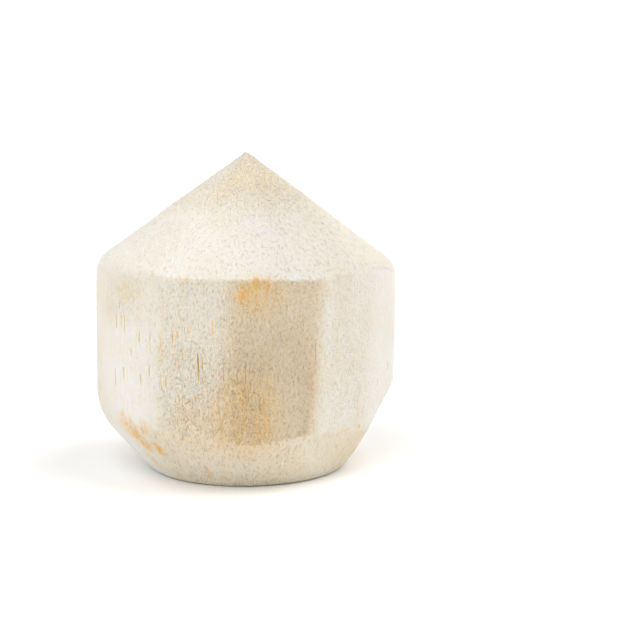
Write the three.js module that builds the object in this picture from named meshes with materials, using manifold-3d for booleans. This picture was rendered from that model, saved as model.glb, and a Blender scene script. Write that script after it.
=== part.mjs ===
// A young coconut trimmed for drinking: the green skin is pared off and the white husk is left as one
// piece, with a pointed crown, upright sides, a chamfered foot and a flat base that it stands on.
// Units are millimetres and +Z is up. The origin is the centre of the base. Bearings are in degrees,
// measured round the upright axis from the front (-Y) towards the right (+X).

import * as THREE from "three";
import { mergeVertices } from "three/addons/utils/BufferGeometryUtils.js";
import Module from "manifold-3d";

// Driving dimensions of the turned blank, before it leans and before the knife flattens it.
const BASE_RADIUS = 40;
const WALL_RADIUS = 60.8;
const FOOT_HEIGHT = 24; // where the chamfer would meet the wall
const SHOULDER_RADIUS = 60.2; // the wall draws in a little towards the shoulder
const SHOULDER_HEIGHT = 83.2; // where the wall would meet the crown
const CROWN_HEIGHT = 127.9; // where the crown would come to a point
const BASE_FILLET = 3;
const TIP_FILLET = 3.5;

// The peeler left crisp corners in front and rubbed ones round the sides and the back.
const CRISP = { foot: 2.5, shoulder: 1.5 }; // fillets
const RUBBED = { foot: 20, shoulder: 8 }; // fillets
const CRISP_BEARING = 3; // the middle of the crisp stretch
const CRISP_WITHIN = 24; // degrees to each side of it
const RUBBED_FROM = 52; // degrees to each side of it

// The nut did not sit straight in the peeler: its upper part leans over to the right, and the crown's
// point drifts a little back to the left.
const LEAN = 1.45; // degrees
const LEAN_BEARING = 75;
const LEAN_FROM = 60; // height where the lean begins
const POINT_DRIFT = -1;

const TURNS = 84; // sides of the turned blank
const ROWS = { foot: 3, wall: 8, crown: 8, baseFillet: 4, footFillet: 5, shoulderFillet: 5, tip: 4 };

// Each knife cut takes off what lies outside a flat plane. Rise is the angle of the plane's outward
// normal above the horizontal, and the plane passes through the point at this radius and height.
const KNIFE_CUTS = [
  { name: "crown front", bearing: 10.3, rise: 51.9, radius: 56.1, height: 84 },
  { name: "crown front left", bearing: -19.3, rise: 53.1, radius: 58, height: 84 },
  { name: "crown front right", bearing: 48.4, rise: 50.9, radius: 54.5, height: 84 },
  { name: "crown back right", bearing: 122, rise: 51.6, radius: 57.4, height: 84 },
  { name: "crown back", bearing: 168, rise: 52.4, radius: 56.4, height: 84 },
  { name: "crown back left", bearing: -142, rise: 52, radius: 57.4, height: 84 },
  { name: "wall front", bearing: 8.5, rise: -0.8, radius: 57.7, height: 50 },
  { name: "wall front left", bearing: -17, rise: 0.6, radius: 60, height: 50 },
  { name: "wall front right", bearing: 50.5, rise: -3.9, radius: 54.1, height: 50 },
  { name: "wall right", bearing: 84, rise: -1.7, radius: 60.4, height: 50 },
  { name: "wall back right", bearing: 131, rise: -2, radius: 57.6, height: 50 },
  { name: "wall back", bearing: 176, rise: 0.8, radius: 58.2, height: 50 },
  { name: "wall back left", bearing: -133, rise: 1.4, radius: 58.8, height: 50 },
  { name: "foot front", bearing: 14, rise: -38, radius: 57.4, height: 21.6 },
  { name: "foot front right", bearing: 46, rise: -30, radius: 52.1, height: 20 },
  { name: "foot right", bearing: 84, rise: -30, radius: 51.4, height: 20 },
  { name: "foot back right", bearing: 127, rise: -36, radius: 53.2, height: 20 },
  { name: "foot back left", bearing: -150, rise: -38, radius: 54.6, height: 20 },
];

const HUSK_COLOUR = new THREE.Color(0.86, 0.8, 0.66);

const wasm = await Module();
wasm.setup();

const radians = THREE.MathUtils.degToRad;

// A closed geometry as a manifold-3d solid.
function toSolid(geometry) {
  const bare = geometry.index ? geometry.toNonIndexed() : geometry.clone();
  bare.deleteAttribute("normal");
  bare.deleteAttribute("uv");
  const merged = mergeVertices(bare, 1e-4);
  const corners = merged.index.array;
  const triVerts = [];
  for (let i = 0; i < corners.length; i += 3) {
    const [a, b, c] = corners.slice(i, i + 3);
    if (a !== b && b !== c && c !== a) triVerts.push(a, b, c);
  }
  return new wasm.Manifold(
    new wasm.Mesh({
      numProp: 3,
      vertProperties: merged.getAttribute("position").array,
      triVerts: new Uint32Array(triVerts),
    }),
  );
}

// A manifold-3d solid as a flat-shaded geometry.
function toGeometry(solid) {
  const mesh = solid.getMesh();
  const geometry = new THREE.BufferGeometry();
  geometry.setAttribute("position", new THREE.BufferAttribute(mesh.vertProperties, 3));
  geometry.setIndex(new THREE.BufferAttribute(mesh.triVerts, 1));
  geometry.computeVertexNormals();
  return geometry;
}

// Points in equal steps from one point up to, but not including, the next.
function straight(from, to, steps) {
  return Array.from({ length: steps }, (_, k) => from.clone().lerp(to, k / steps));
}

// Points along the arc that rounds the corner between the directions into it and out of it.
function fillet(before, corner, after, radius, steps) {
  const into = corner.clone().sub(before).normalize();
  const out = after.clone().sub(corner).normalize();
  const turn = Math.acos(into.dot(out));
  const start = corner.clone().addScaledVector(into, -radius * Math.tan(turn / 2));
  const centre = start.clone().add(new THREE.Vector2(-into.y, into.x).multiplyScalar(radius));
  return Array.from({ length: steps + 1 }, (_, k) => start.clone().rotateAround(centre, (turn * k) / steps));
}

// The angle between two bearings, from 0 to 180.
function apart(bearing, other) {
  return Math.abs(THREE.MathUtils.euclideanModulo(bearing - other + 180, 360) - 180);
}

// The outline of the blank at one bearing, as points of radius and height, from the middle of the
// base to the tip. Every bearing has the same number of points.
function outlineAt(bearing) {
  const rubbed = THREE.MathUtils.smoothstep(apart(bearing, CRISP_BEARING), CRISP_WITHIN, RUBBED_FROM);
  const middle = new THREE.Vector2(0, 0);
  const rim = new THREE.Vector2(BASE_RADIUS, 0);
  const foot = new THREE.Vector2(WALL_RADIUS, FOOT_HEIGHT);
  const shoulder = new THREE.Vector2(SHOULDER_RADIUS, SHOULDER_HEIGHT);
  const point = new THREE.Vector2(0, CROWN_HEIGHT);

  const footRadius = THREE.MathUtils.lerp(CRISP.foot, RUBBED.foot, rubbed);
  const shoulderRadius = THREE.MathUtils.lerp(CRISP.shoulder, RUBBED.shoulder, rubbed);
  const rimArc = fillet(middle, rim, foot, BASE_FILLET, ROWS.baseFillet);
  const footArc = fillet(rim, foot, shoulder, footRadius, ROWS.footFillet);
  const shoulderArc = fillet(foot, shoulder, point, shoulderRadius, ROWS.shoulderFillet);
  const mirrored = new THREE.Vector2(-shoulder.x, shoulder.y);
  const tipArc = fillet(shoulder, point, mirrored, TIP_FILLET, 2 * ROWS.tip).slice(0, ROWS.tip + 1);

  return [
    middle,
    ...rimArc.slice(0, -1),
    ...straight(rimArc.at(-1), footArc[0], ROWS.foot),
    ...footArc.slice(0, -1),
    ...straight(footArc.at(-1), shoulderArc[0], ROWS.wall),
    ...shoulderArc.slice(0, -1),
    ...straight(shoulderArc.at(-1), tipArc[0], ROWS.crown),
    ...tipArc,
  ];
}

// The blank as it comes off the peeler, with its outline changing little by little round the axis.
function turnedBlank() {
  const rows = outlineAt(0).length;
  const geometry = new THREE.LatheGeometry(outlineAt(0), TURNS);
  const position = geometry.getAttribute("position");
  for (let turn = 0; turn <= TURNS; turn++) {
    const bearing = (360 * (turn % TURNS)) / TURNS;
    const [east, south] = [Math.sin(radians(bearing)), Math.cos(radians(bearing))];
    outlineAt(bearing).forEach((at, row) => {
      position.setXYZ(turn * rows + row, at.x * east, at.y, at.x * south);
    });
  }
  return geometry.rotateX(Math.PI / 2);
}

// Bends the upper part of the blank over towards the lean's bearing, little by little.
function leanOver(geometry) {
  const position = geometry.getAttribute("position");
  const bearing = radians(LEAN_BEARING);
  const axis = new THREE.Vector3(Math.cos(bearing), Math.sin(bearing), 0);
  const pivot = new THREE.Vector3(0, 0, LEAN_FROM);
  const point = new THREE.Vector3();
  for (let i = 0; i < position.count; i++) {
    point.fromBufferAttribute(position, i);
    const share = THREE.MathUtils.smoothstep(point.z, LEAN_FROM, SHOULDER_HEIGHT);
    const drift = THREE.MathUtils.mapLinear(point.z, SHOULDER_HEIGHT, CROWN_HEIGHT, 0, POINT_DRIFT);
    point.sub(pivot).applyAxisAngle(axis, radians(LEAN) * share).add(pivot);
    position.setXYZ(i, point.x + Math.min(0, drift), point.y, point.z);
  }
  return geometry;
}

// What is left of the solid on the inner side of one flat knife cut.
function knifeCut(solid, { bearing, rise, radius, height }) {
  const [east, south] = [Math.sin(radians(bearing)), Math.cos(radians(bearing))];
  const [level, up] = [Math.cos(radians(rise)), Math.sin(radians(rise))];
  const outward = new THREE.Vector3(east * level, -south * level, up);
  const through = new THREE.Vector3(radius * east, -radius * south, height);
  const reach = 4 * WALL_RADIUS;
  const waste = new THREE.BoxGeometry(reach, reach, reach);
  waste.translate(0, 0, reach / 2);
  waste.applyQuaternion(new THREE.Quaternion().setFromUnitVectors(new THREE.Vector3(0, 0, 1), outward));
  waste.translate(through.x, through.y, through.z);
  return solid.subtract(toSolid(waste));
}

function trimmedHusk() {
  const blank = toSolid(leanOver(turnedBlank()));
  const solid = KNIFE_CUTS.reduce(knifeCut, blank);
  const material = new THREE.MeshStandardMaterial({ color: HUSK_COLOUR, roughness: 0.85, metalness: 0 });
  const husk = new THREE.Mesh(toGeometry(solid), material);
  husk.name = "husk";
  return husk;
}

const coconut = new THREE.Group();
coconut.add(trimmedHusk());

export default coconut;
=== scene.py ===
"""A young coconut trimmed for drinking, finished for close views.

The husk is made as a cook would make it: a blank is turned on the peeler and leans over a little,
a knife pares it flat in places, its corners are rubbed, and its pith gets its grain, its slits and
its stains.

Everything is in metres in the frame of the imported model, with +Z up and the front at -Y.
"""

import logging
import math
import random
from collections.abc import Callable
from dataclasses import dataclass, field
from enum import Enum

import bmesh
import bpy
import numpy as np
from mathutils import Matrix, Vector
from mathutils.bvhtree import BVHTree


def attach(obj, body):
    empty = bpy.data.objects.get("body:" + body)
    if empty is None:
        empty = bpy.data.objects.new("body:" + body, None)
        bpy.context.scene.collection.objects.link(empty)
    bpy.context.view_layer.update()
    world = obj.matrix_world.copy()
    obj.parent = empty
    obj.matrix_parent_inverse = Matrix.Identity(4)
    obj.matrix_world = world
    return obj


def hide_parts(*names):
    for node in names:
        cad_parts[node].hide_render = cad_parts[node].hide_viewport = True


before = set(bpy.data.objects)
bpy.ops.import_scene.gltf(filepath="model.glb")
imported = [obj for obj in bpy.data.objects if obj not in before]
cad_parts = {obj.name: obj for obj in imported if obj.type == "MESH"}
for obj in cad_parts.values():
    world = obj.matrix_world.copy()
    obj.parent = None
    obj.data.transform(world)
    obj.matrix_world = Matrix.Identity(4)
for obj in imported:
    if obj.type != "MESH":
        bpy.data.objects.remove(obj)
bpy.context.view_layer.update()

logging.basicConfig(level=logging.INFO, format="%(message)s")
log = logging.getLogger("coconut")

MM = 0.001

Array = np.ndarray
Colour = tuple[float, float, float, float]
Piece = bpy.types.Object
Material = bpy.types.Material
Socket = bpy.types.NodeSocket
Span = tuple[float, float]


def rgb(red: float, green: float, blue: float) -> Colour:
    """An opaque linear colour."""
    return (red, green, blue, 1.0)


def direction(bearing: float, rise: float = 0.0) -> Vector:
    """Finds the unit vector at a bearing.

    Args:
        bearing: degrees from the front (-Y) towards the right (+X).
        rise: degrees above the horizontal.

    Returns:
        The unit vector.
    """
    turned, raised = math.radians(bearing), math.radians(rise)
    level = math.cos(raised)
    return Vector((math.sin(turned) * level, -math.cos(turned) * level, math.sin(raised)))


def smoothstep(value: Array | float, low: float, high: float) -> Array | float:
    """Eases from 0 at low to 1 at high."""
    share = np.clip((value - low) / (high - low), 0.0, 1.0)
    return share * share * (3.0 - 2.0 * share)


def apart(bearing: Array | float, other: float) -> Array | float:
    """The angle between two bearings, from 0 to 180 degrees."""
    return abs((bearing - other + 180.0) % 360.0 - 180.0)


def choose_only(piece: Piece) -> None:
    """Leaves one piece selected and active.

    Args:
        piece: the piece to choose.
    """
    bpy.ops.object.select_all(action="DESELECT")
    piece.select_set(True)
    bpy.context.view_layer.objects.active = piece


def mode(name: str) -> None:
    """Goes into the named mode, which is EDIT or OBJECT."""
    bpy.ops.object.mode_set(mode=name)


def fresh(add: Callable[..., object], **settings: object) -> Piece:
    """Adds an object with nothing else selected.

    Args:
        add: the operator that adds it.
        settings: the operator's settings.

    Returns:
        The new object.
    """
    bpy.ops.object.select_all(action="DESELECT")
    add(**settings)
    return bpy.context.object


def apply(piece: Piece, kind: str, **settings: object) -> None:
    """Adds a modifier to a piece and applies it.

    Args:
        piece: the piece.
        kind: the modifier's type.
        settings: its properties.
    """
    modifier = piece.modifiers.new(kind.title(), kind)
    for name, value in settings.items():
        setattr(modifier, name, value)
    choose_only(piece)
    bpy.ops.object.modifier_apply(modifier=modifier.name)


def take_off(piece: Piece, tool: Piece, solver: str) -> None:
    """Cuts a tool's shape off a piece and puts the tool away.

    Args:
        piece: the piece.
        tool: the tool.
        solver: how the cut is worked out.
    """
    apply(piece, "BOOLEAN", operation="DIFFERENCE", solver=solver, object=tool)
    bpy.data.objects.remove(tool)


def pick(piece: Piece, wanted: Callable[[Vector], bool]) -> None:
    """Selects vertices by their place, in edit mode.

    Args:
        piece: the piece that is being edited.
        wanted: says whether a vertex at this place is selected.
    """
    sheet = bmesh.from_edit_mesh(piece.data)
    for vertex in sheet.verts:
        vertex.select = wanted(vertex.co)
    sheet.select_flush(True)
    bmesh.update_edit_mesh(piece.data)


def places(piece: Piece) -> Array:
    """Reads where a piece's vertices are.

    Args:
        piece: the piece.

    Returns:
        Their places, as rows of x, y and z.
    """
    flat = np.empty(len(piece.data.vertices) * 3)
    piece.data.vertices.foreach_get("co", flat)
    return flat.reshape(-1, 3)


def bearings(at: Array) -> Array:
    """The bearings of places, in degrees."""
    return np.degrees(np.arctan2(at[:, 0], -at[:, 1]))


def weigh(piece: Piece, name: str, weights: Array) -> str:
    """Makes a vertex group from one weight for each vertex.

    Args:
        piece: the piece.
        name: the group's name.
        weights: from 0 to 1.

    Returns:
        The group's name.
    """
    group = piece.vertex_groups.new(name=name)
    steps = 32
    level = np.rint(np.clip(weights, 0.0, 1.0) * steps).astype(int)
    for step in range(1, steps + 1):
        members = np.nonzero(level == step)[0].tolist()
        if members:
            group.add(members, step / steps, "REPLACE")
    return group.name


class NodeSheet:
    """Adds and links the nodes of one material or of the sky."""

    def __init__(self, material: Material | bpy.types.World) -> None:
        """Starts an empty sheet."""
        material.use_nodes = True
        self.tree = material.node_tree
        self.tree.nodes.clear()

    def add(
        self, kind: str, inputs: dict[str, object] | None = None, **settings: object
    ) -> bpy.types.Node:
        """Adds a node.

        Args:
            kind: the node's type.
            inputs: by socket name or number, the sockets to link or the values to set.
            settings: its properties.

        Returns:
            The node.
        """
        node = self.tree.nodes.new(kind)
        for name, value in settings.items():
            setattr(node, name, value)
        for name, value in (inputs or {}).items():
            if isinstance(value, Socket):
                self.tree.links.new(value, node.inputs[name])
            else:
                node.inputs[name].default_value = value
        return node

    def maths(self, operation: str, first: object, second: object = 0.0) -> Socket:
        """Works out one sum of two sockets or numbers."""
        return self.add("ShaderNodeMath", {0: first, 1: second}, operation=operation).outputs[0]

    def vector(self, operation: str, first: object, second: object = (0, 0, 0)) -> Socket:
        """Works out one sum of two vectors."""
        node = self.add("ShaderNodeVectorMath", {0: first, 1: second}, operation=operation)
        return node.outputs[0]

    def noise(self, at: Socket, scale: float, detail: float, rough: float = 0.5) -> Socket:
        """Adds a noise and returns its value, about 0.5 on average."""
        inputs = {"Vector": at, "Scale": scale, "Detail": detail, "Roughness": rough}
        return self.add("ShaderNodeTexNoise", inputs).outputs[0]

    def span(
        self, value: Socket, low: float, high: float, start: float = 0.0, end: float = 1.0
    ) -> Socket:
        """Eases from start, where the value is low or less, to end, where it is high or more."""
        inputs = {"Value": value, "From Min": low, "From Max": high, "To Min": start, "To Max": end}
        return self.add("ShaderNodeMapRange", inputs, interpolation_type="SMOOTHSTEP").outputs[0]

    def blend(self, share: object, first: object, second: object, how: str = "MIX") -> Socket:
        """Blends two colours or their sockets, by the share that the second has."""
        inputs = {0: share, 6: first, 7: second}
        return self.add("ShaderNodeMix", inputs, data_type="RGBA", blend_type=how).outputs[2]

    def painted(self, name: str) -> Socket:
        """Reads a share that is painted on the piece."""
        return self.add("ShaderNodeAttribute", attribute_name=name).outputs["Fac"]

    def place(self, upright: float) -> Socket:
        """Reads the place in millimetres.

        Args:
            upright: a share that the height is drawn in by.

        Returns:
            The place's socket.
        """
        metres = self.add("ShaderNodeTexCoord").outputs["Object"]
        inputs = {"Vector": metres, "Scale": (1 / MM, 1 / MM, upright / MM)}
        return self.add("ShaderNodeMapping", inputs).outputs[0]

    def surface(self, kind: str, inputs: dict[str, object]) -> None:
        """Adds the shader and gives it to the surface."""
        shader = self.add(kind, inputs)
        self.add("ShaderNodeOutputMaterial", {"Surface": shader.outputs[0]})


class PithSheet(NodeSheet):
    """Lays patterns out along the husk's fibres and slopes."""

    def along_fibres(self, place: Socket, around: float, up: float) -> Socket:
        """Lays places out so that a plain noise runs up the wall and in to the tip as fibres do.

        Args:
            place: the place in millimetres.
            around: units in one radian round the husk.
            up: units in one millimetre of height.

        Returns:
            The laid-out place.
        """
        level = self.vector("MULTIPLY", place, (1, 1, 0))
        turned = self.vector("MULTIPLY", self.vector("NORMALIZE", level), (around, around, 0))
        return self.vector("ADD", turned, self.vector("MULTIPLY", place, (0, 0, up)))

    def along_slope(self, place: Socket) -> Socket:
        """Lays places out so that a plain noise is drawn out towards the tip and gets finer there.

        Args:
            place: the place in millimetres.

        Returns:
            The laid-out place, in units of a crumb.
        """
        level = self.vector("MULTIPLY", place, (1, 1, 0))
        length = self.add("ShaderNodeVectorMath", {0: level}, operation="LENGTH")
        finer = self.maths("POWER", length.outputs["Value"], -0.4)
        finer = self.maths("MULTIPLY", finer, 6.6)
        scaled = self.add("ShaderNodeVectorMath", {0: level, "Scale": finer}, operation="SCALE")
        return scaled.outputs[0]

    def crumbs(self, lays: tuple[Socket, Socket]) -> Socket:
        """Makes the crumbs of the pith.

        Args:
            lays: the places laid out along the slopes and up the wall.

        Returns:
            Their height, from 0 in the dents between them to 1 on top.
        """
        found = []
        for laid in lays:
            cells = self.add("ShaderNodeTexVoronoi", {"Vector": laid, "Scale": 1.0})
            pebbles = self.span(cells.outputs["Distance"], 0.1, 0.52, 1, 0.5)
            dents = self.span(self.noise(laid, 0.75, 2, 0.6), 0.3, 0.45, -0.5, 0)
            found.append(self.maths("ADD", pebbles, dents))
        return self.by_side(*found)

    def by_side(self, on_slope: Socket, on_wall: Socket) -> Socket:
        """Takes one value on the slopes and another on the wall."""
        inputs = {0: self.painted("upright"), 2: on_slope, 3: on_wall}
        return self.add("ShaderNodeMix", inputs).outputs[0]


@dataclass(frozen=True)
class KnifeCut:
    """A flat cut by the knife, which takes off what lies outside its plane.

    Rise is the angle of the plane's outward normal above the horizontal, and the plane passes
    through the point at this bearing, radius and height, the last two in millimetres.
    """

    bearing: float
    rise: float
    radius: float
    height: float

    def outward(self) -> Vector:
        """The plane's outward normal."""
        return direction(self.bearing, self.rise)

    def through(self) -> Vector:
        """The point that the plane passes through."""
        return direction(self.bearing) * self.radius * MM + Vector((0, 0, self.height * MM))


@dataclass
class Blank:
    """The husk as it comes off the peeler, before the knife."""

    base_radius: float = 40 * MM
    wall_radius: float = 60.8 * MM
    foot_height: float = 24 * MM
    shoulder_radius: float = 60.2 * MM
    shoulder_height: float = 83.2 * MM
    crown_height: float = 127.9 * MM
    base_fillet: float = 3 * MM
    tip_fillet: float = 3.5 * MM
    foot_fillets: Span = (2.5 * MM, 20 * MM)  # crisp in front, rubbed elsewhere
    shoulder_fillets: Span = (1.5 * MM, 8 * MM)
    crisp_bearing: float = 3
    crisp_within: float = 24
    rubbed_from: float = 52
    lean: float = 1.45
    lean_bearing: float = 75
    lean_from: float = 60 * MM
    point_drift: float = -1 * MM
    sides: int = 120
    lean_rings: int = 5
    tip_rings: int = 4

    def build(self) -> Piece:
        """Turns the blank and leans its upper part over.

        Returns:
            The blank.
        """
        circle = bpy.ops.mesh.primitive_circle_add
        blank = fresh(circle, vertices=self.sides, radius=self.base_radius, fill_type="NGON")
        blank.name = "pared_husk"
        mode("EDIT")
        bpy.ops.mesh.select_all(action="SELECT")
        radius, height = self.base_radius, 0.0
        for next_radius, next_height in self.rings():
            up = (0, 0, next_height - height)
            bpy.ops.mesh.extrude_region_move(TRANSFORM_OT_translate={"value": up})
            share = next_radius / radius
            bpy.ops.transform.resize(value=(share, share, 1), center_override=(0, 0, next_height))
            radius, height = next_radius, next_height
        mode("OBJECT")
        self.mark_corners(blank)
        self.lean_over(blank)
        how = {"segments": 6, "limit_method": "WEIGHT", "use_clamp_overlap": False}
        apply(blank, "BEVEL", width=self.widest(), **how)
        return blank

    def rings(self) -> list[Span]:
        """Finds the rings above the base.

        Returns:
            The radius and height of each.
        """
        wall = self.shoulder_height - self.foot_height
        drawn_in = (self.shoulder_radius - self.wall_radius) / wall
        found = [(self.wall_radius, self.foot_height)]
        leaning = self.shoulder_height - self.lean_from
        for ring in range(self.lean_rings + 1):
            height = self.lean_from + leaning * ring / self.lean_rings
            found.append((self.wall_radius + drawn_in * (height - self.foot_height), height))
        slope = self.crown_slope()
        middle = self.crown_height - self.tip_fillet / math.cos(slope)
        for ring in range(self.tip_rings):
            angle = slope * (1 - ring / self.tip_rings)
            radius = self.tip_fillet * math.sin(angle)
            found.append((radius, middle + self.tip_fillet * math.cos(angle)))
        return found

    def crown_slope(self) -> float:
        """The crown's angle above the horizontal, in radians."""
        return math.atan2(self.crown_height - self.shoulder_height, self.shoulder_radius)

    def reach(self, corner: int, bearing: float) -> float:
        """Finds how far a fillet reaches along its two sides.

        Args:
            corner: 0 at the base's rim, 1 at the foot and 2 at the shoulder.
            bearing: in degrees.

        Returns:
            The distance from the corner to where the fillet begins.
        """
        chamfer = math.atan2(self.foot_height, self.wall_radius - self.base_radius)
        turn = (chamfer, math.pi / 2 - chamfer, math.pi / 2 - self.crown_slope())[corner]
        rubbed = smoothstep(apart(bearing, self.crisp_bearing), self.crisp_within, self.rubbed_from)
        crisp, soft = ((self.base_fillet,) * 2, self.foot_fillets, self.shoulder_fillets)[corner]
        return (crisp + (soft - crisp) * rubbed) * math.tan(turn / 2)

    def widest(self) -> float:
        """The furthest reach of all the fillets."""
        return max(self.reach(corner, 180) for corner in range(3))

    def mark_corners(self, blank: Piece) -> None:
        """Marks how wide each corner's fillet is, as bevel weights.

        Args:
            blank: the blank, before it leans.
        """
        mesh = blank.data
        corners = (0.0, self.foot_height, self.shoulder_height)
        marks = mesh.attributes.new("bevel_weight_edge", "FLOAT", "EDGE")
        for edge in mesh.edges:
            first, last = (mesh.vertices[number].co for number in edge.vertices)
            middle = (first + last) / 2
            bearing = math.degrees(math.atan2(middle.x, -middle.y))
            for corner, height in enumerate(corners):
                if max(abs(first.z - height), abs(last.z - height)) < 1e-6:
                    marks.data[edge.index].value = self.reach(corner, bearing) / self.widest()

    def lean_over(self, blank: Piece) -> None:
        """Bends the upper part over, ring by ring, and lets the tip drift.

        Args:
            blank: the blank.
        """
        step = (self.shoulder_height - self.lean_from) / self.lean_rings
        pivot = (0, 0, self.lean_from)
        mode("EDIT")
        pick(blank, lambda place: place.z > self.shoulder_height + step)
        bpy.ops.transform.translate(value=(self.point_drift, 0, 0))
        leaned = 0.0
        for ring in range(1, self.lean_rings + 1):
            share = float(smoothstep(ring / self.lean_rings, 0, 1))
            turn = math.radians(self.lean) * (share - leaned)
            leaned = share
            pick(blank, lambda place: place.z > self.lean_from + (ring - 0.5) * step)
            for axis, part in (("X", math.cos), ("Y", math.sin)):
                angle = -turn * part(math.radians(self.lean_bearing))
                bpy.ops.transform.rotate(value=angle, orient_axis=axis, center_override=pivot)
        mode("OBJECT")


class Mark(Enum):
    """The colours that a stain has, each painted by its own name; the yellow one also carries
    painted warm light at the foot.
    """

    ORANGE = "orange_stain"
    YELLOW = "yellow_stain"
    TAN = "tan_stain"


@dataclass(frozen=True)
class Stain:
    """A stain on the husk; the same shape also lays painted warm light along the foot's bottom
    edge.

    Width and length are half measures in millimetres, and turn takes its top to the left.
    """

    bearing: float
    height: float
    width: float
    length: float
    strength: float = 1.0
    turn: float = 0.0

    def share(self, away: Array) -> Array:
        """The stain's strength by the distance from its middle, in half measures."""
        return self.strength * (1 - smoothstep(away, 0.35, 1.25))


@dataclass(frozen=True)
class Slit:
    """A short split between fibres, in millimetres. Its turn takes its top to the left."""

    bearing: float
    height: float
    length: float
    width: float = 0.8
    depth: float = 0.32
    turn: float = 0.0


@dataclass(frozen=True)
class Flake:
    """A place where the knife lifted a flake, which tore off along its foot and its right side.

    The corner is where the two torn edges meet. Sizes are in millimetres.
    """

    bearing: float = -15.8
    height: float = 39.2
    width: float = 10.5
    length: float = 15
    droop: float = 4.5  # how much lower the torn foot's left end is
    depth: float = 1.2
    jag: float = 0.7
    slant: float = 1.3  # how far the torn edges lean back for each millimetre out
    side_share: float = 0.6  # how much of the jag and the slant the right side has
    thinned: float = 0.6  # the share of the depth that is lost towards the left
    lifted: float = 0.3  # how far the bed rises above the surface at its top
    reach: float = 4  # how far the wedge stands out
    columns: int = 20
    rows: int = 26

    def build(self, seat: Matrix, chance: random.Random) -> Piece:
        """Makes what the knife took: a thin wedge with two torn edges.

        Args:
            seat: the corner's frame, with X to the left, Y out of the surface and Z up along it.
            chance: the source of chance.

        Returns:
            The wedge, in its place.
        """
        wedge = fresh(
            bpy.ops.mesh.primitive_grid_add,
            x_subdivisions=self.columns,
            y_subdivisions=self.rows,
            size=1,
            location=(0.5, 0.5, 0),
        )
        bpy.ops.object.transform_apply()
        mode("EDIT")
        bpy.ops.mesh.extrude_region_move(TRANSFORM_OT_translate={"value": (0, 0, 1)})
        bpy.ops.mesh.select_all(action="SELECT")
        bpy.ops.mesh.normals_make_consistent(inside=False)
        mode("OBJECT")
        foot = [chance.uniform(-1, 1) * self.jag for _ in range(self.columns + 1)]
        side = [chance.uniform(-1, 1) * self.jag * self.side_share for _ in range(self.rows + 1)]
        for vertex in wedge.data.vertices:
            left, up, out = vertex.co
            bed = self.lifted * up - self.depth * (1 - self.thinned * left) * (1 - up)
            level = bed if out < 0.5 else self.reach
            back = self.slant * (level - bed)
            torn_side = side[round(up * self.rows)] - self.side_share * back
            torn_foot = foot[round(left * self.columns)] - back
            across = left * self.width + torn_side * (1 - left)
            along = up * self.length - left * self.droop + torn_foot * (1 - up)
            vertex.co = Vector((across, level, along)) * MM
        wedge.data.flip_normals()
        wedge.data.transform(seat)
        return wedge


class Side(Enum):
    """The husk's three kinds of side, by how far their outward normal leans up."""

    CROWN = "crown"
    WALL = "wall"
    FOOT = "foot"

    def cover(self, lie: Array) -> Array:
        """Tells how far each place belongs to this side, from its normal's upward part."""
        crown, foot = smoothstep(lie, 0.2, 0.5), smoothstep(-lie, 0.2, 0.42)
        return {"crown": crown, "foot": foot, "wall": (1 - crown) * (1 - foot)}[self.value]


@dataclass(frozen=True)
class Lay:
    """How each vertex lies."""

    bearing: Array
    height: Array  # in millimetres
    lie: Array  # how far its normal points up, from -1 to 1


@dataclass(frozen=True)
class Patch:
    """A soft-edged part of one side, between two bearings and two heights in millimetres."""

    side: Side
    share: float
    bearings: Span = (-180.0, 180.0)
    heights: Span = (-20.0, 150.0)
    soft: tuple[float, float, float] = (6.0, 6.0, 5.0)  # on the left, on the right, below and above
    lean: float = 0.0  # degrees to the right for each millimetre up, from the middle of the wall

    def cover(self, lay: Lay) -> Array:
        """Works out how much of the patch each vertex has.

        Args:
            lay: how the vertices lie.

        Returns:
            The patch's share at each vertex.
        """
        left, right, across = (part / 2 for part in self.soft)
        middle = sum(self.bearings) / 2
        half = (self.bearings[1] - self.bearings[0]) / 2
        off = (lay.bearing - self.lean * (lay.height - 50) - middle + 180) % 360 - 180
        begun = smoothstep(off, -half - left, -half + left)
        ended = smoothstep(off, half - right, half + right)
        sideways = np.maximum(begun * (1 - ended), half >= 180)
        low, high = (smoothstep(lay.height, at - across, at + across) for at in self.heights)
        return self.share * sideways * low * (1 - high) * self.side.cover(lay.lie)


def patchwork(start: float, patches: tuple[Patch, ...], lay: Lay) -> Array:
    """Adds patches to the share that the rest of the husk has."""
    return start + sum(patch.cover(lay) for patch in patches)


@dataclass(frozen=True)
class Relief:
    """Uneven ground over part of the husk. Size and depth are in millimetres."""

    name: str
    size: float
    depth: float
    upright: float = 1.0
    contrast: float = 1.0
    octaves: int = 1


@dataclass(frozen=True)
class Grain:
    """What the colour and the bump of the pith share."""

    place: Socket  # in millimetres
    along: Socket  # laid out along the fibres
    lays: tuple[Socket, Socket]  # laid out along the slopes and up the wall
    crumbs: Socket  # their height
    lines: Socket  # the fibres' height


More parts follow.
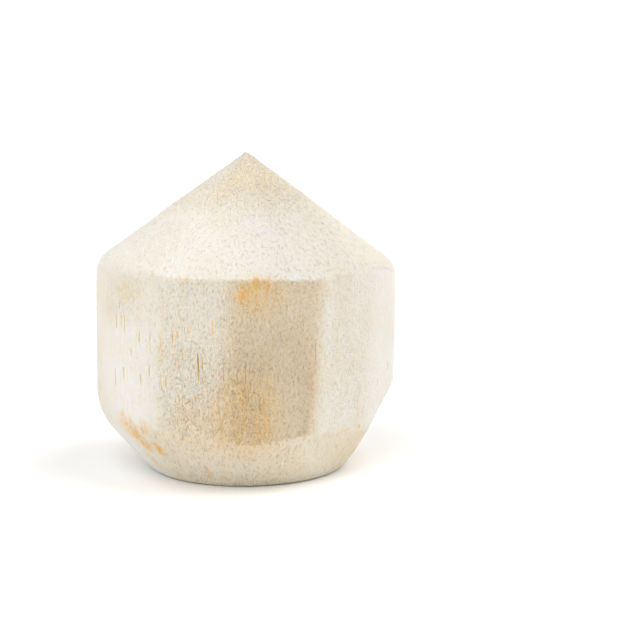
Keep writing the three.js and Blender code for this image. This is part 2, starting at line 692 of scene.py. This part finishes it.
@dataclass(frozen=True)
class HuskFinish:
    """The white pith: pale crumbs with painted light on top and painted warm shade between, upright
    fibres, brown stains, and painted light and shade in places.
    """

    white: Colour = rgb(0.74, 0.74, 0.725)
    cream: Colour = rgb(0.685, 0.63, 0.53)
    pared: Colour = rgb(0.555, 0.475, 0.365)
    shade: Colour = rgb(0.90, 0.745, 0.50)  # painted shade between the crumbs, as a share of the ground's colour
    lit: Colour = rgb(1.08, 1.08, 1.075)  # painted light on top of the crumbs, likewise
    painted_shade: Colour = rgb(0.895, 0.895, 0.905)  # painted shade on the crown's right side, likewise
    fibre: Colour = rgb(0.74, 0.60, 0.38)
    dash: Colour = rgb(0.74, 0.60, 0.35)
    orange: Colour = rgb(0.74, 0.47, 0.19)
    yellow: Colour = rgb(0.72, 0.56, 0.20)
    tan: Colour = rgb(0.69, 0.52, 0.29)
    cream_at: float = 0.45  # the tone that is cream
    broad: float = 0.08  # how far the tone wanders
    roughness: Span = (0.94, 0.76)  # between the crumbs and on top of them
    gloss: float = 0.3
    glow: float = 0.3  # the share of the light that goes under the surface
    glow_depth: float = 1.2  # millimetres
    crumb_rise: float = 0.54  # millimetres, likewise below
    lump_rise: float = 0.5
    line_sink: float = 0.25

    def material(self) -> Material:
        """Makes the material.

        Returns:
            The material.
        """
        made = bpy.data.materials.new("white pith")
        sheet = PithSheet(made)
        place = sheet.place(1)
        along = sheet.along_fibres(place, 110, 1 / 8)
        lays = (sheet.along_slope(place), sheet.along_fibres(place, 125, 1.15))
        crumbs = sheet.crumbs(lays)
        grain = Grain(place, along, lays, crumbs, sheet.noise(along, 1.0, 2, 0.6))
        sheet.surface(
            "ShaderNodeBsdfPrincipled",
            {
                "Base Color": self.colour(sheet, grain),
                "Roughness": sheet.span(crumbs, 0.2, 0.8, *self.roughness),
                "Specular IOR Level": self.gloss,
                "Subsurface Weight": self.glow,
                "Subsurface Radius": (1.0, 0.6, 0.3),
                "Subsurface Scale": self.glow_depth * MM,
                "Normal": self.bump(sheet, grain),
            },
        )
        return made

    def colour(self, sheet: PithSheet, grain: Grain) -> Socket:
        """Mixes the colour.

        Args:
            sheet: the material's sheet.
            grain: the pith's grain.

        Returns:
            The colour's socket.
        """
        broad = sheet.span(sheet.noise(grain.place, 0.06, 3), 0.3, 0.7, -self.broad, self.broad)
        # The tone carries the pith's tan and, where its patches say so, painted light and shade.
        tone_and_shading = sheet.maths("ADD", broad, sheet.painted("tone_and_shading"))
        ramp = sheet.add("ShaderNodeValToRGB", {0: tone_and_shading})
        ramp.color_ramp.elements[0].color = self.white
        ramp.color_ramp.elements[1].color = self.pared
        ramp.color_ramp.elements.new(self.cream_at).color = self.cream
        ground = ramp.outputs[0]
        fibrous = sheet.painted("fibrous")
        threads = sheet.maths("MULTIPLY", sheet.span(grain.lines, 0.45, 0.75, 0, 0.7), fibrous)
        ground = sheet.blend(threads, ground, self.fibre)
        dashes = sheet.noise(sheet.vector("MULTIPLY", grain.along, (0.8, 0.8, 1.4)), 1.0, 1, 0.5)
        dashes = sheet.maths("MULTIPLY", sheet.span(dashes, 0.66, 0.74, 0, 0.8), fibrous)
        ground = sheet.blend(dashes, ground, self.dash)
        streaks = sheet.noise(sheet.vector("MULTIPLY", grain.along, (0.45, 0.45, 1.4)), 1.0, 3, 0.6)
        blots = sheet.noise(grain.place, 0.6, 3, 0.65)
        uneven = sheet.maths("ADD", streaks, blots)
        for mark, tint, least in (
            (Mark.TAN, self.tan, 0.4),
            (Mark.YELLOW, self.yellow, 0.2),
            (Mark.ORANGE, self.orange, 0.1),
        ):
            soak = sheet.span(uneven, 0.84, 1.12, least, 1)
            share = sheet.maths("MULTIPLY", sheet.painted(mark.value), soak)
            ground = sheet.blend(share, ground, tint)
        # Painted shade: the crown's right side made darker and a little cooler.
        ground = sheet.blend(sheet.painted("painted_shade"), ground, self.painted_shade, "MULTIPLY")
        # Painted shade in the dents between the crumbs and painted light on their tops, over the
        # grain's own colour.
        crumb_light_and_shade = sheet.blend(grain.crumbs, self.shade, self.lit)
        return sheet.blend(sheet.painted("grainy"), ground, crumb_light_and_shade, "MULTIPLY")

    def bump(self, sheet: PithSheet, grain: Grain) -> Socket:
        """Makes the relief that is finer than the mesh.

        Args:
            sheet: the material's sheet.
            grain: the pith's grain.

        Returns:
            The normal's socket.
        """
        lumps = sheet.by_side(*(sheet.noise(laid, 0.5, 1) for laid in grain.lays))
        lumps = sheet.maths("MULTIPLY", lumps, self.lump_rise)
        crumbs = sheet.maths("MULTIPLY", grain.crumbs, self.crumb_rise)
        raised = sheet.maths("ADD", lumps, crumbs)
        raised = sheet.maths("MULTIPLY", raised, sheet.painted("grainy"))
        sunk = sheet.maths("MULTIPLY", grain.lines, -self.line_sink)
        sunk = sheet.maths("MULTIPLY", sunk, sheet.painted("fibrous"))
        height = sheet.maths("ADD", raised, sunk)
        return sheet.add("ShaderNodeBump", {"Height": height, "Distance": MM}).outputs[0]


@dataclass(frozen=True)
class SplitFinish:
    """The darker fibre inside a slit."""

    fibre: Colour = rgb(0.82, 0.68, 0.43)
    deep: Colour = rgb(0.74, 0.55, 0.30)
    roughness: float = 0.9
    gloss: float = 0.2

    def material(self) -> Material:
        """Makes the material.

        Returns:
            The material.
        """
        made = bpy.data.materials.new("split fibre")
        sheet = NodeSheet(made)
        streaks = sheet.noise(sheet.place(0.4), 0.8, 2)
        colour = sheet.blend(sheet.span(streaks, 0.35, 0.65), self.fibre, self.deep)
        inputs = {"Roughness": self.roughness, "Specular IOR Level": self.gloss}
        sheet.surface("ShaderNodeBsdfPrincipled", {"Base Color": colour, **inputs})
        return made


@dataclass
class Husk:
    """The pared husk: its blank, its knife cuts, its worn corners, its grain and its marks."""

    voxel: float = 0.7 * MM
    scoop_bearing: float = 18
    scoop_radius: float = 95 * MM
    scoop_reach: float = 15 * MM
    scoop_depth: float = 1.1 * MM
    scoop_rise: float = 52  # of its outward normal
    scoop_slope: float = -37  # of the way down to it from the tip
    crown_start: Span = (86, 92)  # heights, in millimetres from here on
    crisp_tip: Span = (2, 9)  # distances from the axis
    wall_start: Span = (29, 38)  # heights
    wall_end: Span = (70, 79)
    ridges: tuple[Span, Span] = ((-8, 9), (26, 6))  # bearings, and how far each ridge spreads
    rubbed_sides: Span = (50, 62)  # degrees from the crisp stretch
    off_base: Span = (0.6, 4)  # heights
    grain_bearing: float = -3  # the middle of the front, which has the deepest grain
    grain_fade: Span = (34, 60)  # degrees from it
    crown_grain: Span = (82, 85)  # heights
    back_grain: float = 0.35  # how deep the grain is at the back, as a share of the front's
    torn_bearing: float = -10
    torn_fade: Span = (10, 24)
    torn_start: Span = (24, 32)
    torn_end: Span = (58, 74)
    kept: float = 0.63  # the share of the faces that is kept, the loss being at the back
    unseen: int = 46  # slits at the sides and the back
    unseen_spans: tuple[Span, ...] = ((68, 292), (30, 74), (2.5, 9), (0.35, 0.55), (-4, 4))
    blade_bend: float = 0.35  # half widths, at most
    flake_seed: int = 3
    slit_seed: int = 7
    plain_tone: float = 0.06  # off the patches, likewise the next two
    plain_grain: float = 0.2
    plain_fibre: float = 0.1
    soft_angle: float = 40  # the sharpest corner that is shaded soft
    piece: Piece = field(init=False)
    blank: Blank = field(default_factory=Blank)
    flake: Flake = field(default_factory=Flake)
    cuts: tuple[KnifeCut, ...] = (
        KnifeCut(10.3, 51.9, 56.1, 84),  # crown front
        KnifeCut(-19.3, 53.1, 58, 84),  # crown front left
        KnifeCut(48.4, 50.9, 54.5, 84),  # crown front right
        KnifeCut(122, 51.6, 57.4, 84),  # crown back right
        KnifeCut(168, 52.4, 56.4, 84),  # crown back
        KnifeCut(-142, 52, 57.4, 84),  # crown back left
        KnifeCut(8.5, -0.8, 57.7, 50),  # wall front
        KnifeCut(-17, 0.6, 60, 50),  # wall front left
        KnifeCut(50.5, -3.9, 54.1, 50),  # wall front right
        KnifeCut(84, -1.7, 60.4, 50),  # wall right
        KnifeCut(131, -2, 57.6, 50),  # wall back right
        KnifeCut(176, 0.8, 58.2, 50),  # wall back
        KnifeCut(-133, 1.4, 58.8, 50),  # wall back left
        KnifeCut(14, -38, 57.4, 21.6),  # foot front
        KnifeCut(46, -30, 52.1, 20),  # foot front right
        KnifeCut(84, -30, 51.4, 20),  # foot right
        KnifeCut(127, -36, 53.2, 20),  # foot back right
        KnifeCut(-150, -38, 54.6, 20),  # foot back left
    )
    slits: tuple[Slit, ...] = (
        Slit(-56.4, 42.1, 8), Slit(-50.5, 43.8, 10.8, turn=3), Slit(-45.9, 53.8, 5.1),
        Slit(-41.2, 43.4, 15.3, 0.5, turn=5), Slit(-41.6, 58.9, 6.1), Slit(-36.4, 59, 10.1, 0.4),
        Slit(-37, 47.3, 5.1), Slit(-31.7, 59.1, 7, 0.55), Slit(-31.7, 43.5, 7.7, turn=8),
        Slit(-29.8, 44, 5, 0.5, turn=4), Slit(-26.8, 61, 7), Slit(-25, 62, 3.5),
        Slit(-17.4, 49.8, 15.2, 0.8, 0.85, turn=2), Slit(-23.2, 54.5, 5, 0.55),
        Slit(-24.5, 51.5, 3, 0.6), Slit(-25.8, 38.1, 6.6, 0.5), Slit(-49.8, 64, 7.2),
        Slit(-55, 64.7, 6.8), Slit(-52.9, 70.9, 4.1), Slit(-8.2, 47.3, 14.2, 0.5, turn=2),
        Slit(25.2, 54.2, 13.4, 0.35, 0.4), Slit(-12, 65, 5.9), Slit(-15.9, 51.1, 7, 0.35),
        Slit(-21, 64.6, 4.1), Slit(-3.4, 45, 12, 0.35, 0.5), Slit(-0.5, 46, 13.6, 0.3, 0.5),
        Slit(4.5, 36.5, 8.6, 0.3, 0.5), Slit(-24.4, 35.8, 2.4, 0.7, 0.35, turn=-84),
        Slit(-21.4, 36.8, 3.0, 0.8, 0.5, turn=-58), Slit(-18.2, 38.6, 2.6, 0.8, 0.4, turn=-80),
        Slit(-15.9, 44.5, 8.8, 0.5, 0.7),
    )
    orange_stains: tuple[Stain, ...] = (
        Stain(-0.8, 77, 3.0, 4.2), Stain(4.2, 81, 3.2, 2.4), Stain(7.4, 78.5, 1.7, 4.4),
        Stain(9.8, 78.5, 1.5, 1.8, 0.8), Stain(4.3, 74.2, 2.4, 2.2, 0.6),
        Stain(7, 35, 2.0, 12, 0.3), Stain(-1.6, 41, 1.2, 9, 0.5), Stain(3.2, 29, 1.4, 8, 0.25),
        Stain(8.0, 25.6, 2.6, 2.4, 0.45), Stain(-51.5, 25.8, 3.6, 5.2, 0.9),
        Stain(-48, 22.2, 4.6, 6.4, 1.0, 14), Stain(-46.4, 17.4, 4.4, 6.0, 0.85, 14),
        Stain(-39.5, 15.4, 2.6, 4.8), Stain(-40.8, 25.4, 2.8, 4.0, 0.5),
        Stain(-51.4, 8.8, 2.4, 5.0, 0.6, 10), Stain(56.6, 20.6, 1.1, 1.2, 1.3),
        Stain(-21, 82.6, 1.6, 0.9, 0.7), Stain(-35, 83, 1.2, 0.8, 0.6),
        Stain(36, 81.6, 1.0, 0.9, 0.6), Stain(-32, 56.6, 0.9, 2.6, 0.5),
    )
    yellow_stains_and_warm_light: tuple[Stain, ...] = (
        Stain(2.4, 79.5, 2.2, 3.0), Stain(-50, 18, 8, 10, 0.25), Stain(-49.6, 75.6, 7, 4.5, 0.3),
        Stain(45.3, 20.9, 6.0, 0.9, 0.5), Stain(-32.5, 52, 1.8, 2.6, 0.4),
        # Stain(-4, 3, 60, 8, 0.2) is painted warm light along the foot's bottom edge, not a stain.
        Stain(37.5, 55.5, 0.7, 7, 0.5), Stain(-4, 3, 60, 8, 0.2), Stain(20, 117, 45, 12, 0.12),
    )
    tan_stains: tuple[Stain, ...] = (
        Stain(4.4, 76, 12, 9, 0.65), Stain(-2, 31, 17, 18, 0.75), Stain(6.4, 37, 5, 14, 0.45),
        Stain(-17, 28, 15, 11, 0.45), Stain(54.6, 28, 0.8, 7, 0.4), Stain(-19.4, 6.5, 1.0, 4, 0.6),
        Stain(23.8, 44, 0.5, 18, 0.5),
    )

    # Tone patches; some of them, as marked, paint light and shade.
    tone_and_shading: tuple[Patch, ...] = (
        # Partly painted shade: the front cut's tan, here and in the next patch, is deepened on this
        # side, which faces the front.
        Patch(Side.WALL, 0.56, (-7, 26), soft=(16, 9, 1), lean=0.09),  # front cut
        Patch(Side.WALL, 0.13, (-7, 27), (10, 66), soft=(16, 5, 16), lean=0.09),  # front cut low
        # Painted shade in the crease along the front cut's right ridge.
        Patch(Side.WALL, 0.25, (22, 30), (16, 52), (7, 8, 14), 0.09),  # front cut edge
        # Painted light: the front left cut made lighter than the plain white.
        Patch(Side.WALL, -0.07, (-28, -9), (16, 54), (10, 10, 14)),  # front left cut
        Patch(Side.WALL, 0.03, (24, 62), (10, 60), (16, 16, 30)),  # front right cut
        Patch(Side.WALL, 0.03, (64, 110), soft=(20, 20, 1)),  # far right
        # Partly painted shade: the left wall darker and warmer towards its far edge.
        Patch(Side.WALL, 0.2, (-110, -62), soft=(20, 20, 1)),  # far left
        Patch(Side.WALL, 0.07, (-60, -34), (64, 86), (14, 12, 12)),  # left shoulder
        # Partly painted shade: the foot's tan is warm shade on its downward face, and its right
        # side is darker still.
        Patch(Side.FOOT, 0.26),  # foot
        Patch(Side.FOOT, 0.06, (24, 110), soft=(30, 30, 4)),  # foot right
        # Painted light from the table below: the foot's lower left edge and its bottom edge made
        # lighter.
        Patch(Side.FOOT, -0.24, (-110, -44), (-9, 22), (20, 20, 10)),  # foot left
        Patch(Side.FOOT, -0.3, (-90, 45), (-9, 10), (30, 30, 12)),  # under the foot
        Patch(Side.CROWN, -0.03),  # crown
        # Partly painted shade: the tip's front darker and warmer than the rest of the crown.
        Patch(Side.CROWN, 0.26, (-32, 72), (108, 140), (24, 24, 20)),  # tip front
        Patch(Side.WALL, 0.3, (108, 152), soft=(12, 12, 3)),  # back right cut
        Patch(Side.WALL, 0.38, (-155, -112), soft=(12, 12, 3)),  # back left cut
        Patch(Side.WALL, 0.25, (150, 200), (18, 46), (24, 24, 20)),  # back low
        Patch(Side.CROWN, 0.18, (150, 215), (70, 104), (30, 30, 12)),  # crown back
    )
    # How grainy each part is; this also sets how much painted shade lies between the crumbs and
    # painted light on them.
    grainy: tuple[Patch, ...] = (
        Patch(Side.CROWN, 0.46),  # crown
        Patch(Side.CROWN, 0.24, (24, 110), soft=(30, 30, 5)),  # crown right
        Patch(Side.CROWN, 0.24, heights=(106, 124), soft=(6, 6, 8)),  # tip
        Patch(Side.WALL, 0.5, (-64, -40), (64, 86), (14, 14, 12)),  # left shoulder
        Patch(Side.WALL, 0.66, (-33, -8), soft=(24, 24, 1)),  # front left
        Patch(Side.WALL, 0.66, (-8, 25), soft=(14, 14, 1)),  # front
        Patch(Side.WALL, 0.5, (-32, 6), (10, 54), (12, 12, 14)),  # front low
        Patch(Side.WALL, 0.5, (25, 62), soft=(16, 16, 1)),  # front right
        Patch(Side.FOOT, 0.9, (-48, 24), soft=(30, 30, 4)),  # foot
        Patch(Side.FOOT, 0.55, (24, 110), soft=(30, 30, 4)),  # foot right
        Patch(Side.WALL, 0.35, (105, 255), soft=(20, 20, 3)),  # back
        Patch(Side.FOOT, 0.3, (110, 285), soft=(30, 30, 4)),  # foot back
    )
    # Painted shade on the crown's right side.
    painted_shade: tuple[Patch, ...] = (
        Patch(Side.CROWN, 1.0, (-5, 66), (60, 115), (40, 34, 10)),  # crown right
    )
    fibrous: tuple[Patch, ...] = (
        Patch(Side.WALL, 0.65, (-110, -28), soft=(18, 18, 6)),  # left
        Patch(Side.WALL, 0.3, (-28, -4), soft=(18, 18, 10)),  # front left
        Patch(Side.WALL, 0.35, (-20, 12), (10, 56), (12, 12, 16)),  # front low
        Patch(Side.WALL, 0.3, (24, 86), soft=(8, 8, 6)),  # front right
        Patch(Side.WALL, 0.5, (86, 250), soft=(20, 20, 6)),  # right and back
    )

    def build(self) -> Piece:
        """Models, marks and finishes the husk.

        Returns:
            The husk.
        """
        self.piece = self.blank.build()
        self.pare()
        self.scoop()
        apply(self.piece, "REMESH", mode="VOXEL", voxel_size=self.voxel, use_smooth_shade=True)
        self.rub()
        smooth = Ground(self.piece)
        self.roughen()
        self.thin_out()
        self.rest_flat()
        self.piece.data.materials.append(HuskFinish().material())
        self.piece.data.materials.append(SplitFinish().material())
        self.lift(smooth)
        self.split()
        self.paint(smooth)
        choose_only(self.piece)
        bpy.ops.object.shade_smooth_by_angle(angle=math.radians(self.soft_angle))
        return self.piece

    def pare(self) -> None:
        """Makes the knife's flat cuts."""
        choose_only(self.piece)
        mode("EDIT")
        for cut in self.cuts:
            bpy.ops.mesh.select_all(action="SELECT")
            plane = {"plane_co": cut.through(), "plane_no": cut.outward()}
            bpy.ops.mesh.bisect(**plane, use_fill=True, clear_outer=True, threshold=1e-7)
        mode("OBJECT")

    def scoop(self) -> None:
        """Hollows the front of the tip a little, where the knife slipped round it."""
        out = direction(self.scoop_bearing, self.scoop_rise)
        down = direction(self.scoop_bearing, self.scoop_slope)
        middle = Vector((0, 0, self.blank.crown_height)) + down * self.scoop_reach
        centre = middle + out * (self.scoop_radius - self.scoop_depth)
        ball = bpy.ops.mesh.primitive_uv_sphere_add
        spoon = fresh(ball, segments=96, ring_count=48, radius=self.scoop_radius, location=centre)
        take_off(self.piece, spoon, "EXACT")

    def rub(self) -> None:
        """Softens the ridges between the cuts, most on the crown."""
        at = places(self.piece)
        bearing, height = bearings(at), at[:, 2] / MM
        from_axis = np.hypot(at[:, 0], at[:, 1]) / MM
        crown = smoothstep(height, *self.crown_start) * smoothstep(from_axis, *self.crisp_tip)
        on_wall = smoothstep(height, *self.wall_start) * (1 - smoothstep(height, *self.wall_end))
        left_ridge, right_ridge = (
            np.exp(-(((bearing - at_bearing) / spread) ** 2)) * on_wall
            for at_bearing, spread in self.ridges
        )
        sides = smoothstep(apart(bearing, self.blank.crisp_bearing), *self.rubbed_sides)
        apply(self.piece, "SMOOTH", factor=0.5, iterations=3)
        for name, weights, rounds in (
            ("crown", crown, 160),
            ("left ridge", left_ridge, 160),
            ("right ridge", right_ridge, 30),
            ("sides", sides, 60),
        ):
            group = weigh(self.piece, name, weights)
            apply(self.piece, "SMOOTH", factor=0.5, iterations=rounds, vertex_group=group)

    def roughen(self) -> None:
        """Gives the husk its uneven ground and its grain, all of it inwards."""
        at = places(self.piece)
        bearing, height = bearings(at), at[:, 2] / MM
        off_base = smoothstep(height, *self.off_base)
        front = 1 - smoothstep(apart(bearing, self.grain_bearing), *self.grain_fade)
        crown = smoothstep(height, *self.crown_grain)
        grainy = off_base * (self.back_grain + (1 - self.back_grain) * np.maximum(front, crown))
        torn = 1 - smoothstep(apart(bearing, self.torn_bearing), *self.torn_fade)
        torn = torn * smoothstep(height, *self.torn_start)
        torn = torn * (1 - smoothstep(height, *self.torn_end))
        self.lay(Relief("waves", size=24, depth=0.4), off_base)
        self.lay(Relief("torn fibres", 1.9, 0.6, upright=3.4, contrast=1.6, octaves=2), torn)
        self.lay(Relief("grain", 2.2, 0.42, upright=1.3, contrast=1.6, octaves=2), grainy)

    def lay(self, ground: Relief, weights: Array) -> None:
        """Presses one uneven ground into the husk.

        Args:
            ground: the ground.
            weights: how much each vertex takes of it.
        """
        texture = bpy.data.textures.new(ground.name, "CLOUDS")
        texture.noise_scale = ground.size * MM
        texture.noise_depth = ground.octaves
        texture.contrast = ground.contrast
        stretch = fresh(bpy.ops.object.empty_add)
        stretch.scale = (1, 1, ground.upright)
        laid_out = {"texture_coords": "OBJECT", "texture_coords_object": stretch}
        pressed = {"mid_level": 0.8, "strength": ground.depth * MM}
        group = weigh(self.piece, ground.name, weights)
        apply(self.piece, "DISPLACE", texture=texture, vertex_group=group, **laid_out, **pressed)
        bpy.data.objects.remove(stretch)
        bpy.data.textures.remove(texture)

    def thin_out(self) -> None:
        """Drops faces where the husk is seen least, at the back and under the base."""
        at = places(self.piece)
        behind = smoothstep(apart(bearings(at), 0), 84, 104)
        behind = behind * (1 - smoothstep(at[:, 2], 100 * MM, 120 * MM))
        under = 1 - smoothstep(at[:, 2] / MM, 0.02, 0.3)
        group = weigh(self.piece, "seen least", np.maximum(behind, under))
        apply(self.piece, "DECIMATE", ratio=self.kept, vertex_group=group)

    def rest_flat(self) -> None:
        """Levels the base."""
        choose_only(self.piece)
        mode("EDIT")
        pick(self.piece, lambda place: place.z < 0.1 * MM)
        bpy.ops.transform.resize(value=(1, 1, 0), center_override=(0, 0, 0))
        mode("OBJECT")

    def lift(self, smooth: "Ground") -> None:
        """Takes the flake off.

        Args:
            smooth: its surface before it was roughened.
        """
        seat = smooth.seat(self.flake.bearing, self.flake.height)
        wedge = self.flake.build(seat, random.Random(self.flake_seed))
        wedge.data.materials.append(self.piece.data.materials[0])
        take_off(self.piece, wedge, "MANIFOLD")

    def split(self) -> None:
        """Cuts the slits."""
        ground = Ground(self.piece)
        chance = random.Random(self.slit_seed)
        slits = (*self.slits, *self.unseen_slits(chance))
        blades = [self.blade(slit, ground, chance) for slit in slits]
        bpy.ops.object.select_all(action="DESELECT")
        for blade in blades:
            blade.select_set(True)
        bpy.context.view_layer.objects.active = blades[0]
        bpy.ops.object.join()
        cutter = bpy.context.object
        cutter.data.materials.append(self.piece.data.materials[0])
        cutter.data.materials.append(self.piece.data.materials[1])
        for face in cutter.data.polygons:
            face.material_index = 1
        take_off(self.piece, cutter, "MANIFOLD")

    def unseen_slits(self, chance: random.Random) -> list[Slit]:
        """Scatters slits over the sides and the back, by their bearings, heights and sizes.

        Args:
            chance: the source of chance.

        Returns:
            The slits.
        """
        found = []
        for _ in range(self.unseen):
            drawn = [chance.uniform(*span) for span in self.unseen_spans]
            found.append(Slit(*drawn[:4], turn=drawn[4]))
        return found

    def blade(self, slit: Slit, ground: "Ground", chance: random.Random) -> Piece:
        """Makes the blade that cuts one slit.

        Args:
            slit: the slit.
            ground: the husk's surface.
            chance: the source of chance.

        Returns:
            The blade, in its place.
        """
        ball = bpy.ops.mesh.primitive_uv_sphere_add
        blade = fresh(ball, segments=6, ring_count=8, radius=1.0)
        bend = chance.uniform(-self.blade_bend, self.blade_bend)
        for vertex in blade.data.vertices:
            vertex.co.x += bend * vertex.co.z * vertex.co.z
        seat = ground.seat(slit.bearing, slit.height, slit.turn)
        size = Matrix.Diagonal((slit.width / 2 * MM, slit.depth * MM, slit.length / 2 * MM, 1))
        blade.data.transform(seat @ size)
        return blade

    def paint(self, smooth: "Ground") -> None:
        """Paints where the pith is tanned, grainy, fibrous or stained, and where light and shade
        are painted on it.

        Args:
            smooth: its surface before it was roughened.
        """
        at = places(self.piece)
        lay = Lay(bearings(at), at[:, 2] / MM, smooth.lies(at))
        self.store("tone_and_shading", patchwork(self.plain_tone, self.tone_and_shading, lay))
        self.store("grainy", patchwork(self.plain_grain, self.grainy, lay))
        self.store("painted_shade", patchwork(0, self.painted_shade, lay))
        self.store("fibrous", patchwork(self.plain_fibre, self.fibrous, lay))
        self.store("upright", Side.WALL.cover(lay.lie))
        ground = Ground(self.piece)
        for mark, stains in zip(Mark, (self.orange_stains, self.yellow_stains_and_warm_light, self.tan_stains)):
            share = np.zeros(len(at))
            for stain in stains:
                share = np.maximum(share, ground.spread(stain, at))
            self.store(mark.value, share)

    def store(self, name: str, shares: Array) -> None:
        """Stores one share for each vertex, under the name that the material reads."""
        painted = self.piece.data.attributes.new(name, "FLOAT", "POINT")
        painted.data.foreach_set("value", shares.astype(np.float32))


class Ground:
    """The husk's surface, to seat marks on."""

    def __init__(self, husk: Piece) -> None:
        """Reads the surface as it is now."""
        self.tree = BVHTree.FromObject(husk, bpy.context.evaluated_depsgraph_get())

    def seat(self, bearing: float, height: float, turn: float = 0.0) -> Matrix:
        """Finds the surface and a frame on it.

        Args:
            bearing: in degrees.
            height: in millimetres.
            turn: from upright, in degrees.

        Returns:
            A frame with X to the left, Y out of the surface and Z up along it.
        """
        outside = direction(bearing) * 0.2 + Vector((0, 0, height * MM))
        place, normal, _, _ = self.tree.ray_cast(outside, -direction(bearing))
        out = (direction(bearing) + normal).normalized() if normal.z < 0.3 else normal
        up = (Vector((0, 0, 1)) - out * out.z).normalized()
        across = out.cross(up).normalized()
        axes = Matrix((across, out, up)).transposed().to_4x4()
        return Matrix.Translation(place) @ axes @ Matrix.Rotation(math.radians(turn), 4, "Y")

    def lies(self, at: Array) -> Array:
        """Finds how far up the surface faces next to each place."""
        return np.array([self.tree.find_nearest(place)[1].z for place in at.tolist()])

    def spread(self, stain: Stain, at: Array) -> Array:
        """Works out how strongly a stain shows at each place.

        Args:
            stain: the stain.
            at: the places.

        Returns:
            The shares, from 0 to 1.
        """
        to_local = np.array(self.seat(stain.bearing, stain.height, stain.turn).inverted())
        local = (at @ to_local[:3, :3].T + to_local[:3, 3]) / MM
        away = np.hypot(local[:, 0] / stain.width, local[:, 2] / stain.length)
        near = np.abs(local[:, 1]) < 2 + max(stain.width, stain.length)
        return stain.share(away) * near


@dataclass
class Studio:
    """A white table in soft light, dimmer from the camera's side, and the camera."""

    camera_place: tuple[float, float, float] = (0.0, -0.56, 0.145)
    camera_turn: float = 3.056
    camera_pitch: float = 8.765
    camera_lens: float = 78.3
    floor_half: float = 4.0
    card_place: tuple[float, float, float] = (0.1, -1.2, 0.62)
    card_width: float = 0.8
    card_height: float = 0.9
    sky_low: float = 1.13  # the sky's strength at the horizon
    sky_top: float = 0.5
    sky_fade: Span = (0.06, 0.35)  # the upward parts between which it fades
    lamp_bearings: Span = (-42, 86)
    lamp_powers: Span = (1.54, 1.6)
    lamp_rise: float = 53
    lamp_spread: float = 52  # degrees, which makes the shadows soft

    def build(self) -> None:
        """Sets the table, the lights and the camera."""
        self.table()
        self.sky()
        self.card()
        self.lamps()
        self.camera()
        bpy.context.scene.view_settings.view_transform = "Standard"

    def plain(self, name: str, colour: Colour) -> Material:
        """Makes a plain matt material for the stage.

        Args:
            name: its name.
            colour: its colour.

        Returns:
            The material.
        """
        made = bpy.data.materials.new(name)
        NodeSheet(made).surface("ShaderNodeBsdfDiffuse", {"Color": colour})
        return made

    def table(self) -> None:
        """Lays the white table."""
        table = fresh(bpy.ops.mesh.primitive_plane_add, size=2 * self.floor_half)
        table.name = "table"
        table.data.materials.append(self.plain("white table", rgb(0.98, 0.98, 0.98)))

    def sky(self) -> None:
        """Lights everything softly from all round, most from low down."""
        world = bpy.data.worlds.new("studio")
        sheet = NodeSheet(world)
        towards = sheet.add("ShaderNodeTexCoord").outputs["Generated"]
        height = sheet.add("ShaderNodeSeparateXYZ", {0: towards}).outputs[2]
        strength = sheet.span(height, *self.sky_fade, self.sky_low, self.sky_top)
        light = sheet.add("ShaderNodeBackground", {"Color": rgb(1, 1, 1), "Strength": strength})
        sheet.add("ShaderNodeOutputWorld", {"Surface": light.outputs[0]})
        bpy.context.scene.world = world

    def card(self) -> None:
        """Stands a dark card behind the camera, which holds light back from the front."""
        upright = (math.pi / 2, 0, 0)
        plane = bpy.ops.mesh.primitive_plane_add
        card = fresh(plane, size=1, rotation=upright, location=self.card_place)
        card.name = "dark_card"
        bpy.ops.transform.resize(value=(self.card_width, 1, self.card_height))
        bpy.ops.object.transform_apply()
        card.data.materials.append(self.plain("dark card", rgb(0.10, 0.07, 0.04)))
        card.visible_camera = False
        card.visible_shadow = False

    def lamps(self) -> None:
        """Hangs a broad soft lamp on each side."""
        for bearing, power in zip(self.lamp_bearings, self.lamp_powers):
            towards = direction(bearing, self.lamp_rise)
            lamp = fresh(bpy.ops.object.light_add, type="SUN", location=towards)
            lamp.name = "side lamp"
            lamp.rotation_euler = towards.to_track_quat("Z", "Y").to_euler()
            lamp.data.energy = power
            lamp.data.angle = math.radians(self.lamp_spread)

    def camera(self) -> None:
        """Sets the camera."""
        camera = fresh(bpy.ops.object.camera_add, location=self.camera_place)
        camera.data.lens = self.camera_lens
        camera.data.clip_start = 0.01
        towards = -direction(-self.camera_turn, self.camera_pitch)
        camera.rotation_euler = towards.to_track_quat("-Z", "Y").to_euler()
        bpy.context.scene.camera = camera


def main() -> None:
    """Builds the studio and the husk, and logs how many triangles the husk has."""
    Studio().build()
    husk = Husk().build()
    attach(husk, "root")
    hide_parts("husk")
    triangles = sum(len(face.vertices) - 2 for face in husk.data.polygons)
    log.info("husk: %d triangles", triangles)


if __name__ == "__main__":
    main()
